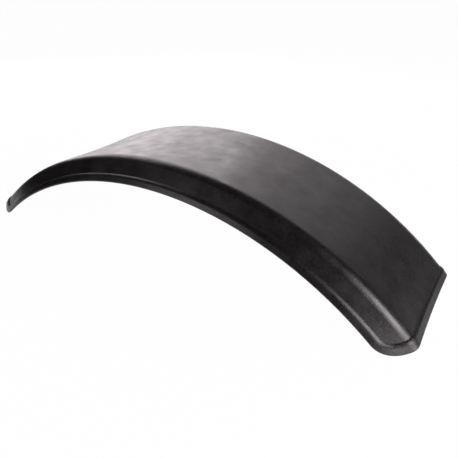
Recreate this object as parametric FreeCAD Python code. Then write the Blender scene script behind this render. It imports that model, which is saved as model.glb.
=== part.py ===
"""Front mudguard of a tractor: one moulded plastic shell, arched over the tyre.

A channel section is carried round the wheel axis. Its crown is dished a little and turns down through a
rounded shoulder on each side, and a raised rim runs all the way round the edge, round corners included.
The arch stands on its two ends. X runs along it, Y across it and Z up, in millimetres and degrees.
"""

import FreeCAD
import Part
import math
import os

Vector = FreeCAD.Vector

# Driving dimensions
CROWN_RADIUS = 690.0        # outer face of the crown along its two edges, about the wheel axis
ARC_SPAN = 89.78            # from one end of the arch to the other, rims included
CROWN_WIDTH = 226.9         # between the edges, where the crown starts to turn down
CROWN_DISH = 2.6            # how far the middle of the crown lies below its edges
SHOULDER_ROUNDING = 24.0    # outer radius between crown and shoulder
SHOULDER_SLOPE = 47.0       # of the shoulder, below level
SHOULDER_DROP = 27.5        # from the edge of the crown down to the foot of the rim
WALL = 4.0                  # of the moulding, everywhere

RIM_HEIGHT = 2.5            # crest of the rim above the face that it stands on, before rounding
RIM_LEDGE = 5.0             # run of the ledge that climbs from the foot of the rim to its crest
RIM_EDGE_HEIGHT = 1.0       # free edge of the rim above the same face
RIM_WIDTH = 17.5            # from the foot of the rim to its free edge, along the two sides
END_RIM_WIDTH = 21.0        # the same across the two ends; the corners lead from one to the other
EDGE_CHAMFER = 1.3          # along both arrises of the free edge
CREST_ROUNDING = 7.0        # radius under the crest; the wall comes on top of it
CORNER_ROUNDING = 32.0      # of the foot of the rim, in plan

# How the rim is rooted in the wall that it stands on
ROOT_REACH = 4.0            # how far the root of the rim runs back into the wall
ROOT_THICKNESS = 1.0        # of that root, in the middle of the wall
ROOT_BEAD = 0.8             # depth of the low bead along the root, under the wall's inner face
ROOT_BEAD_REACH = 2.0       # from the foot of the rim out to the bottom of that bead
TRIM_REACH = 1.0            # how far the wall runs on past the foot of the rim
CORNER_TRIM_REACH = 0.8     # the same at the corners, a little less so that the cuts cross cleanly
CUT_REACH = 30.0            # how far the cutters of the corners reach outwards
CUT_MARGIN = 8.0            # and above and below the outer face

CORNER_STATIONS = 17        # rim sections that each rounded corner is drawn through
FLOOR_SAMPLES = 400         # places along a corner where its lowest point is sought

# Places that follow from them
slope = math.radians(SHOULDER_SLOPE)
crown_y = CROWN_WIDTH / 2
dish_radius = (crown_y ** 2 + CROWN_DISH ** 2) / (2 * CROWN_DISH)
dish_centre_r = CROWN_RADIUS - CROWN_DISH + dish_radius
crown_lean = -math.asin(crown_y / dish_radius)
rounding_y = crown_y - SHOULDER_ROUNDING * math.sin(crown_lean)
rounding_r = CROWN_RADIUS - SHOULDER_ROUNDING * math.cos(crown_lean)
slope_y = rounding_y + SHOULDER_ROUNDING * math.sin(slope)
slope_r = rounding_r + SHOULDER_ROUNDING * math.cos(slope)
side_foot_y = slope_y + (slope_r - CROWN_RADIUS + SHOULDER_DROP) / math.tan(slope)
end_foot_s = CROWN_RADIUS * math.radians(ARC_SPAN / 2) - END_RIM_WIDTH
corner_s = end_foot_s - CORNER_ROUNDING
corner_y = side_foot_y - CORNER_ROUNDING
bend_start_y = min(crown_y, corner_y)
bend_straight = corner_y - bend_start_y
bend_length = bend_straight + CORNER_ROUNDING * math.pi / 2


def section_at(y):
    """Radius of the outer face at a distance y from the middle, and how far its normal leans outwards."""
    if y <= crown_y:
        lean = -math.asin(y / dish_radius)
        return dish_centre_r - dish_radius * math.cos(lean), lean
    if y >= slope_y:
        return slope_r - (y - slope_y) * math.tan(slope), slope
    lean = math.asin((y - rounding_y) / SHOULDER_ROUNDING)
    return rounding_r + SHOULDER_ROUNDING * math.cos(lean), lean


def crossing(point_a, along_a, point_b, along_b):
    """Where two lines of the plane meet."""
    det = along_a[0] * along_b[1] - along_a[1] * along_b[0]
    gap = (point_b[0] - point_a[0], point_b[1] - point_a[1])
    t = (gap[0] * along_b[1] - gap[1] * along_b[0]) / det
    return point_a[0] + t * along_a[0], point_a[1] + t * along_a[1]


def moved(point, along, distance):
    return point[0] + along[0] * distance, point[1] + along[1] * distance


def rim_profile(width):
    """A rim's section as a loop of edges: each is its points, two for a line and three for an arc.

    The first coordinate runs outwards along the face from the foot of the rim, the second above it.
    The corners of the free edge come with the loop.
    """
    crest = (RIM_LEDGE, RIM_HEIGHT)
    climb_angle = math.atan2(RIM_HEIGHT, RIM_LEDGE)
    fall_angle = math.atan2(RIM_HEIGHT - RIM_EDGE_HEIGHT, width - RIM_LEDGE)
    climb = (math.cos(climb_angle), math.sin(climb_angle))
    fall = (math.cos(fall_angle), -math.sin(fall_angle))
    under_climb = (climb[1], -climb[0])
    under_fall = (fall[1], -fall[0])

    outer_rounding = CREST_ROUNDING + WALL
    crest_run = outer_rounding * math.tan((climb_angle + fall_angle) / 2)
    crest_start = moved(crest, climb, -crest_run)
    crest_end = moved(crest, fall, crest_run)
    crest_centre = moved(crest_start, under_climb, outer_rounding)
    crest_up = (math.sin((fall_angle - climb_angle) / 2), math.cos((fall_angle - climb_angle) / 2))
    crest_top = moved(crest_centre, crest_up, outer_rounding)
    inner_start = moved(crest_centre, under_climb, -CREST_ROUNDING)
    inner_end = moved(crest_centre, under_fall, -CREST_ROUNDING)
    inner_top = moved(crest_centre, crest_up, CREST_ROUNDING)

    edge_top = (width, RIM_EDGE_HEIGHT)
    edge_under = moved(edge_top, under_fall, WALL)
    free_edge = [
        moved(edge_top, fall, -EDGE_CHAMFER),
        moved(edge_top, under_fall, EDGE_CHAMFER),
        moved(edge_under, under_fall, -EDGE_CHAMFER),
        moved(edge_under, fall, -EDGE_CHAMFER),
    ]

    along_face = (1.0, 0.0)
    back_top = (-ROOT_REACH, (ROOT_THICKNESS - WALL) / 2)
    back_under = (-ROOT_REACH, -(ROOT_THICKNESS + WALL) / 2)
    root_top = crossing(back_top, along_face, crest_start, climb)
    root_under = (ROOT_BEAD_REACH, -WALL - ROOT_BEAD)
    return [
        (root_top, crest_start),
        (crest_start, crest_top, crest_end),
        (crest_end, free_edge[0]),
        (free_edge[0], free_edge[1]),
        (free_edge[1], free_edge[2]),
        (free_edge[2], free_edge[3]),
        (free_edge[3], inner_end),
        (inner_end, inner_top, inner_start),
        (inner_start, root_under),
        (root_under, back_under),
        (back_under, back_top),
        (back_top, root_top),
    ], free_edge


def round_axis(s):
    """Outward and forward directions, at a distance s round the wheel axis from the top."""
    angle = s / CROWN_RADIUS
    return Vector(math.sin(angle), 0, math.cos(angle)), Vector(math.cos(angle), 0, -math.sin(angle))


def rim_frame(distance):
    """Foot of the rim and its outward and upward directions, at a distance along its bend.

    The bend starts on the end of the arch, where the crown starts to turn down, and follows the
    rounded corner to the long side.
    """
    turn = max(0.0, distance - bend_straight) / CORNER_ROUNDING
    s = corner_s + CORNER_ROUNDING * math.cos(turn)
    y = corner_y + CORNER_ROUNDING * math.sin(turn) - max(0.0, bend_straight - distance)
    radius, lean = section_at(y)
    radial, tangent = round_axis(s)
    across = Vector(0, 1, 0)
    foot = radial * radius + across * y
    up = radial * math.cos(lean) + across * math.sin(lean)
    down_slope = across - radial * math.tan(lean)
    along = down_slope * math.cos(turn) - tangent * (math.sin(turn) * radius / CROWN_RADIUS)
    out = along.cross(up).normalize()
    return foot, out, up


def rim_width(distance):
    """Width of the rim at a distance along its bend: it changes smoothly round the corner."""
    turn = max(0.0, distance - bend_straight) / CORNER_ROUNDING
    return END_RIM_WIDTH + (RIM_WIDTH - END_RIM_WIDTH) * (1 - math.cos(2 * turn)) / 2


def rim_section(distance):
    """The rim's closed section wire at a distance along its bend."""
    foot, out, up = rim_frame(distance)
    edges = []
    for points in rim_profile(rim_width(distance))[0]:
        placed = [foot + out * p[0] + up * p[1] for p in points]
        if len(placed) == 2:
            edges.append(Part.LineSegment(*placed).toShape())
        else:
            edges.append(Part.Arc(*placed).toShape())
    return Part.Wire(edges)


def mirrored(shape, *normals):
    for normal in normals:
        shape = shape.mirror(Vector(0, 0, 0), normal)
    return shape


def make_rim():
    """The rim: two long sides, two ends and four rounded corners, as one ring."""
    across = Vector(0, 1, 0)
    along = Vector(1, 0, 0)
    sections = [rim_section(bend_length * i / (CORNER_STATIONS - 1)) for i in range(CORNER_STATIONS)]
    side = Part.Face(sections[-1]).revolve(
        Vector(0, 0, 0), across, -2 * math.degrees(corner_s / CROWN_RADIUS))
    end_radial, end_tangent = round_axis(end_foot_s)
    end = Part.Face(sections[0]).revolve(
        end_radial * dish_centre_r, end_tangent, -2 * math.degrees(math.asin(bend_start_y / dish_radius)))
    corner = Part.makeLoft(sections, True)
    pieces = [
        mirrored(side, across),
        end, mirrored(end, along),
        corner, mirrored(corner, across), mirrored(corner, along), mirrored(corner, along, across),
    ]
    return side.fuse(pieces)


def make_wall():
    """The crown and its two shoulders, cut to the outline that the rim closes."""
    inner_rounding = SHOULDER_ROUNDING - WALL
    half_angle = (end_foot_s + TRIM_REACH) / CROWN_RADIUS
    trim_y = side_foot_y + TRIM_REACH * math.cos(slope)

    def side_edges(sign, rounding, depth):
        """Points of one half of the section, from the crown to the trimmed edge of the shoulder."""
        points = []
        for lean in (crown_lean, (crown_lean + slope) / 2, slope):
            points.append((rounding_y + rounding * math.sin(lean), rounding_r + rounding * math.cos(lean)))
        end_r = slope_r - (trim_y - slope_y) * math.tan(slope)
        points.append((trim_y - depth * math.sin(slope), end_r - depth * math.cos(slope)))
        return [Vector(0, sign * y, r) for y, r in points]

    outer_right = side_edges(1, SHOULDER_ROUNDING, 0.0)
    outer_left = side_edges(-1, SHOULDER_ROUNDING, 0.0)
    inner_right = side_edges(1, inner_rounding, WALL)
    inner_left = side_edges(-1, inner_rounding, WALL)
    outer_middle = Vector(0, 0, CROWN_RADIUS - CROWN_DISH)
    inner_middle = Vector(0, 0, CROWN_RADIUS - CROWN_DISH - WALL)
    edges = [Part.Arc(outer_left[0], outer_middle, outer_right[0]),
             Part.Arc(inner_right[0], inner_middle, inner_left[0])]
    for start, middle, end, last in (outer_right, outer_left, inner_right, inner_left):
        edges += [Part.Arc(start, middle, end), Part.LineSegment(end, last)]
    edges += [Part.LineSegment(outer_right[3], inner_right[3]), Part.LineSegment(outer_left[3], inner_left[3])]
    wire = Part.Wire(Part.__sortEdges__([edge.toShape() for edge in edges]))
    face = Part.Face(wire)
    face.rotate(Vector(0, 0, 0), Vector(0, 1, 0), -math.degrees(half_angle))
    wall = face.revolve(Vector(0, 0, 0), Vector(0, 1, 0), 2 * math.degrees(half_angle))

    cut = corner_cutter()
    along = Vector(1, 0, 0)
    across = Vector(0, 1, 0)
    return wall.cut([cut, mirrored(cut, across), mirrored(cut, along), mirrored(cut, along, across)])


def corner_cutter():
    """What the rounded corner takes off the square corner of the wall, square to its face."""
    corners = (
        (CORNER_TRIM_REACH, -CUT_MARGIN),
        (CUT_REACH, -CUT_MARGIN),
        (CUT_REACH, CUT_MARGIN),
        (CORNER_TRIM_REACH, CUT_MARGIN),
    )
    sections = []
    for i in range(CORNER_STATIONS):
        foot, out, up = rim_frame(bend_length * i / (CORNER_STATIONS - 1))
        points = [foot + out * along + up * above for along, above in corners]
        sections.append(Part.makePolygon(points + points[:1]))
    return Part.makeLoft(sections, True)


def floor_height():
    """Height of the surface that the arch stands on, above the wheel axis: its lowest edge is a corner's."""
    heights = []
    for i in range(FLOOR_SAMPLES + 1):
        distance = bend_length * i / FLOOR_SAMPLES
        foot, out, up = rim_frame(distance)
        free_edge = rim_profile(rim_width(distance))[1]
        heights += [(foot + out * along + up * above).z for along, above in free_edge]
    return min(heights)


def make_mudguard():
    shell = make_wall().fuse(make_rim()).removeSplitter()
    shell.translate(Vector(0, 0, -floor_height()))
    return shell


def main():
    os.makedirs("parts", exist_ok=True)
    mudguard = make_mudguard()
    mudguard.exportStep("parts/mudguard_shell.step")
    box = mudguard.optimalBoundingBox(False, False)
    print("solids", len(mudguard.Solids), "valid", mudguard.isValid(), "litres", mudguard.Volume / 1e6)
    print("x", box.XMin, box.XMax, "y", box.YMin, box.YMax, "z", box.ZMin, box.ZMax)


main()
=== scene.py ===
"""Front mudguard of a tractor: a black moulded plastic shell, standing on its two ends on a white floor."""
import math

import bpy
from mathutils import Matrix, Vector

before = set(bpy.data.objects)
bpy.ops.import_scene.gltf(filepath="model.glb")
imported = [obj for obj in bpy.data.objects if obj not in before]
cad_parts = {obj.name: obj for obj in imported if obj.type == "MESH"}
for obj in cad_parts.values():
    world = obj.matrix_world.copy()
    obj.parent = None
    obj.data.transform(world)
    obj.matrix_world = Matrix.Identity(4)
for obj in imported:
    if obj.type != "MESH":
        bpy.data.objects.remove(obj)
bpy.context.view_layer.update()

# The camera that the photograph was taken with, in the part's own frame, in metres and degrees
CAMERA_PLACE = (0.5255, -0.7715, 0.5203)
CAMERA_AZIMUTH = 30.62      # of the line of sight, from +Y towards -X
CAMERA_TILT = 28.185        # below level
CAMERA_ROLL = 1.435
CAMERA_LENS = 38.27         # millimetres, on Blender's usual 36 mm of film

# The studio
FLOOR_SIZE = 60.0
FLOOR_SHADE = 0.015         # how much of its own shading the white floor keeps
FLOOR_COLOUR = (0.8, 0.8, 0.8, 1.0)
FLOOR_ROUGHNESS = 0.9
ROOM_LIGHT = 0.030          # of the dark room all round
LAMP_TINT = (1.0, 0.93, 0.95)   # slightly warm

SOFTBOXES = {
    # name: (azimuth from +Y towards -X, height angle, distance, width, height, radiance)
    "back_softbox": (50.0, 25.0, 2.2, 2.1, 2.2, 2.7),
    "back_panel_1": (15.0, 25.0, 2.2, 0.70, 2.0, 1.15),
    "back_panel_2": (-1.0, 25.0, 2.2, 0.65, 1.9, 0.85),
    "back_panel_3": (-17.0, 24.0, 2.2, 0.65, 1.8, 0.75),
    "back_panel_4": (-33.0, 20.0, 2.2, 0.65, 1.5, 0.15),
    "right_softbox": (-94.5, 21.0, 2.0, 1.1, 0.95, 11.0),
    "front_softbox": (158.0, 22.0, 2.0, 1.3, 1.0, 4.0),
    "corner_softbox": (-119.0, 3.0, 2.0, 0.6, 0.40, 7.0),
}
SOFTBOX_AIM = Vector((0.0, 0.0, 0.15))

# The black flag that keeps the left side of the part dark, seen only in its reflections
FLAG_X = -0.80
FLAG_Y = (-1.60, 0.12)
FLAG_HEIGHT = 0.9
CARD_COLOUR = (0.01, 0.01, 0.01, 1.0)

# The plastic: how many features of each noise there are to the metre, and what they change
PLASTIC_IOR = 1.5
CLOUDS = 30.0
CLOUD_DETAIL = 4.0
GLOSSY_PATCH = 0.30         # roughness
DULL_PATCH = 0.43
SPECKS = 220.0
SPECK_DETAIL = 2.0
DEEP_BLACK = (0.0004, 0.0003, 0.0003, 1.0)
SOFT_BLACK = (0.0072, 0.0056, 0.0062, 1.0)
WAVES = 16.0
WAVE_DETAIL = 2.0
WAVE_STRENGTH = 0.5
WAVE_HEIGHT = 0.0012
GRAIN = 300.0
GRAIN_DETAIL = 1.0
GRAIN_STRENGTH = 0.40
GRAIN_HEIGHT = 0.0004
NOISE_MIDDLE = (0.3, 0.7)   # the range that most of a noise lies in


def direction(azimuth, height):
    """The unit vector at an azimuth from +Y towards -X and a height above level, in degrees."""
    turn = math.radians(azimuth)
    rise = math.radians(height)
    return Vector((-math.sin(turn) * math.cos(rise), math.cos(turn) * math.cos(rise), math.sin(rise)))


def noise(nodes, links, place, scale, detail):
    """Noise in the part's own metres, with so many features to the metre."""
    texture = nodes.new("ShaderNodeTexNoise")
    texture.inputs["Scale"].default_value = scale
    texture.inputs["Detail"].default_value = detail
    links.new(place.outputs["Object"], texture.inputs["Vector"])
    return texture


def spread(nodes, links, value, low, high):
    """The middle range of a noise, spread between two values."""
    ramp = nodes.new("ShaderNodeMapRange")
    ramp.inputs["From Min"].default_value = NOISE_MIDDLE[0]
    ramp.inputs["From Max"].default_value = NOISE_MIDDLE[1]
    ramp.inputs["To Min"].default_value = low
    ramp.inputs["To Max"].default_value = high
    links.new(value, ramp.inputs["Value"])
    return ramp.outputs["Result"]


def bump(nodes, links, height, strength, distance):
    """A bump of a given height in metres, from a noise."""
    relief = nodes.new("ShaderNodeBump")
    relief.inputs["Strength"].default_value = strength
    relief.inputs["Distance"].default_value = distance
    links.new(height.outputs["Fac"], relief.inputs["Height"])
    return relief


def black_plastic():
    """Black polyethylene: a fine moulded grain over slow waves, with a cloudy half-gloss."""
    material = bpy.data.materials.new("black_plastic_moulded")
    material.use_nodes = True
    nodes = material.node_tree.nodes
    links = material.node_tree.links
    shader = nodes["Principled BSDF"]
    shader.inputs["IOR"].default_value = PLASTIC_IOR
    place = nodes.new("ShaderNodeTexCoord")

    clouds = noise(nodes, links, place, CLOUDS, CLOUD_DETAIL)
    gloss = spread(nodes, links, clouds.outputs["Fac"], GLOSSY_PATCH, DULL_PATCH)
    links.new(gloss, shader.inputs["Roughness"])

    specks = noise(nodes, links, place, SPECKS, SPECK_DETAIL)
    tint = nodes.new("ShaderNodeMix")
    tint.data_type = "RGBA"
    tint.inputs["A"].default_value = DEEP_BLACK
    tint.inputs["B"].default_value = SOFT_BLACK
    links.new(spread(nodes, links, specks.outputs["Fac"], 0.0, 1.0), tint.inputs["Factor"])
    links.new(tint.outputs["Result"], shader.inputs["Base Color"])

    waves = noise(nodes, links, place, WAVES, WAVE_DETAIL)
    slow = bump(nodes, links, waves, WAVE_STRENGTH, WAVE_HEIGHT)
    grain = noise(nodes, links, place, GRAIN, GRAIN_DETAIL)
    fine = bump(nodes, links, grain, GRAIN_STRENGTH, GRAIN_HEIGHT)
    links.new(slow.outputs["Normal"], fine.inputs["Normal"])
    links.new(fine.outputs["Normal"], shader.inputs["Normal"])
    return material


def dress_shell():
    """Gives the shell its plastic through its own slot."""
    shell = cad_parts["mudguard_shell"]
    shell.data.materials[0] = black_plastic()


def white_floor():
    """The plain white floor: it fills the picture, shows in the plastic and keeps a faint shadow."""
    bpy.ops.object.select_all(action="DESELECT")
    bpy.ops.mesh.primitive_plane_add(size=FLOOR_SIZE, location=(0.0, 0.0, 0.0))
    floor = bpy.context.active_object
    floor.name = "floor"
    material = bpy.data.materials.new("white_floor")
    material.use_nodes = True
    nodes = material.node_tree.nodes
    links = material.node_tree.links
    shader = nodes["Principled BSDF"]
    shader.inputs["Base Color"].default_value = FLOOR_COLOUR
    shader.inputs["Roughness"].default_value = FLOOR_ROUGHNESS
    glow = nodes.new("ShaderNodeEmission")
    glow.inputs["Strength"].default_value = 1.0
    path = nodes.new("ShaderNodeLightPath")
    seen = path.outputs["Is Camera Ray"]
    for ray in ("Is Glossy Ray", "Is Transmission Ray"):
        either = nodes.new("ShaderNodeMath")
        either.operation = "MAXIMUM"
        links.new(seen, either.inputs[0])
        links.new(path.outputs[ray], either.inputs[1])
        seen = either.outputs["Value"]
    share = nodes.new("ShaderNodeMath")
    share.operation = "MULTIPLY"
    share.inputs[1].default_value = 1.0 - FLOOR_SHADE
    links.new(seen, share.inputs[0])
    mix = nodes.new("ShaderNodeMixShader")
    links.new(share.outputs["Value"], mix.inputs["Fac"])
    links.new(shader.outputs["BSDF"], mix.inputs[1])
    links.new(glow.outputs["Emission"], mix.inputs[2])
    links.new(mix.outputs["Shader"], nodes["Material Output"].inputs["Surface"])
    floor.data.materials.append(material)


def black_flag():
    """A black card on the left, which only reflections see."""
    bpy.ops.object.select_all(action="DESELECT")
    middle = (FLAG_X, (FLAG_Y[0] + FLAG_Y[1]) / 2, FLAG_HEIGHT / 2)
    upright = (0.0, math.pi / 2, 0.0)
    bpy.ops.mesh.primitive_plane_add(size=1.0, location=middle, rotation=upright)
    flag = bpy.context.active_object
    flag.name = "black_flag"
    flag.scale = (FLAG_HEIGHT, FLAG_Y[1] - FLAG_Y[0], 1.0)
    bpy.ops.object.transform_apply(location=True, rotation=True, scale=True)
    flag.visible_camera = False
    flag.visible_diffuse = False
    flag.visible_shadow = False
    material = bpy.data.materials.new("black_card")
    material.use_nodes = True
    shader = material.node_tree.nodes["Principled BSDF"]
    shader.inputs["Base Color"].default_value = CARD_COLOUR
    shader.inputs["Roughness"].default_value = 1.0
    shader.inputs["Specular IOR Level"].default_value = 0.0
    flag.data.materials.append(material)


def softbox(name, azimuth, height, distance, width, tall, radiance):
    """A soft panel of light that faces the part."""
    light = bpy.data.lights.new(name, "AREA")
    light.shape = "RECTANGLE"
    light.size = width
    light.size_y = tall
    light.color = LAMP_TINT
    light.energy = radiance * math.pi * width * tall
    lamp = bpy.data.objects.new(name, light)
    towards = direction(azimuth, height)
    lamp.location = SOFTBOX_AIM + towards * distance
    lamp.rotation_euler = towards.to_track_quat("Z", "Y").to_euler()
    bpy.context.scene.collection.objects.link(lamp)


def studio():
    """The dark room, its white floor, the card and the softboxes."""
    scene = bpy.context.scene
    scene.view_settings.view_transform = "Standard"
    world = bpy.data.worlds.new("room")
    scene.world = world
    world.use_nodes = True
    background = world.node_tree.nodes["Background"]
    background.inputs["Color"].default_value = (ROOM_LIGHT, ROOM_LIGHT, ROOM_LIGHT, 1.0)
    white_floor()
    black_flag()
    for name, values in SOFTBOXES.items():
        softbox(name, *values)


def photograph_camera():
    """The camera at the photograph's place, turned about its line of sight by the roll."""
    camera = bpy.data.objects.new("camera", bpy.data.cameras.new("camera"))
    camera.data.lens = CAMERA_LENS
    camera.data.clip_end = 2 * FLOOR_SIZE
    sight = direction(CAMERA_AZIMUTH, -CAMERA_TILT)
    turn = sight.to_track_quat("-Z", "Y").to_matrix().to_4x4()
    roll = Matrix.Rotation(math.radians(CAMERA_ROLL), 4, "Z")
    camera.matrix_world = Matrix.Translation(CAMERA_PLACE) @ turn @ roll
    bpy.context.scene.collection.objects.link(camera)
    bpy.context.scene.camera = camera


for name in ("Cube", "Light", "Camera"):
    if name in bpy.data.objects:
        bpy.data.objects.remove(bpy.data.objects[name])
dress_shell()
studio()
photograph_camera()
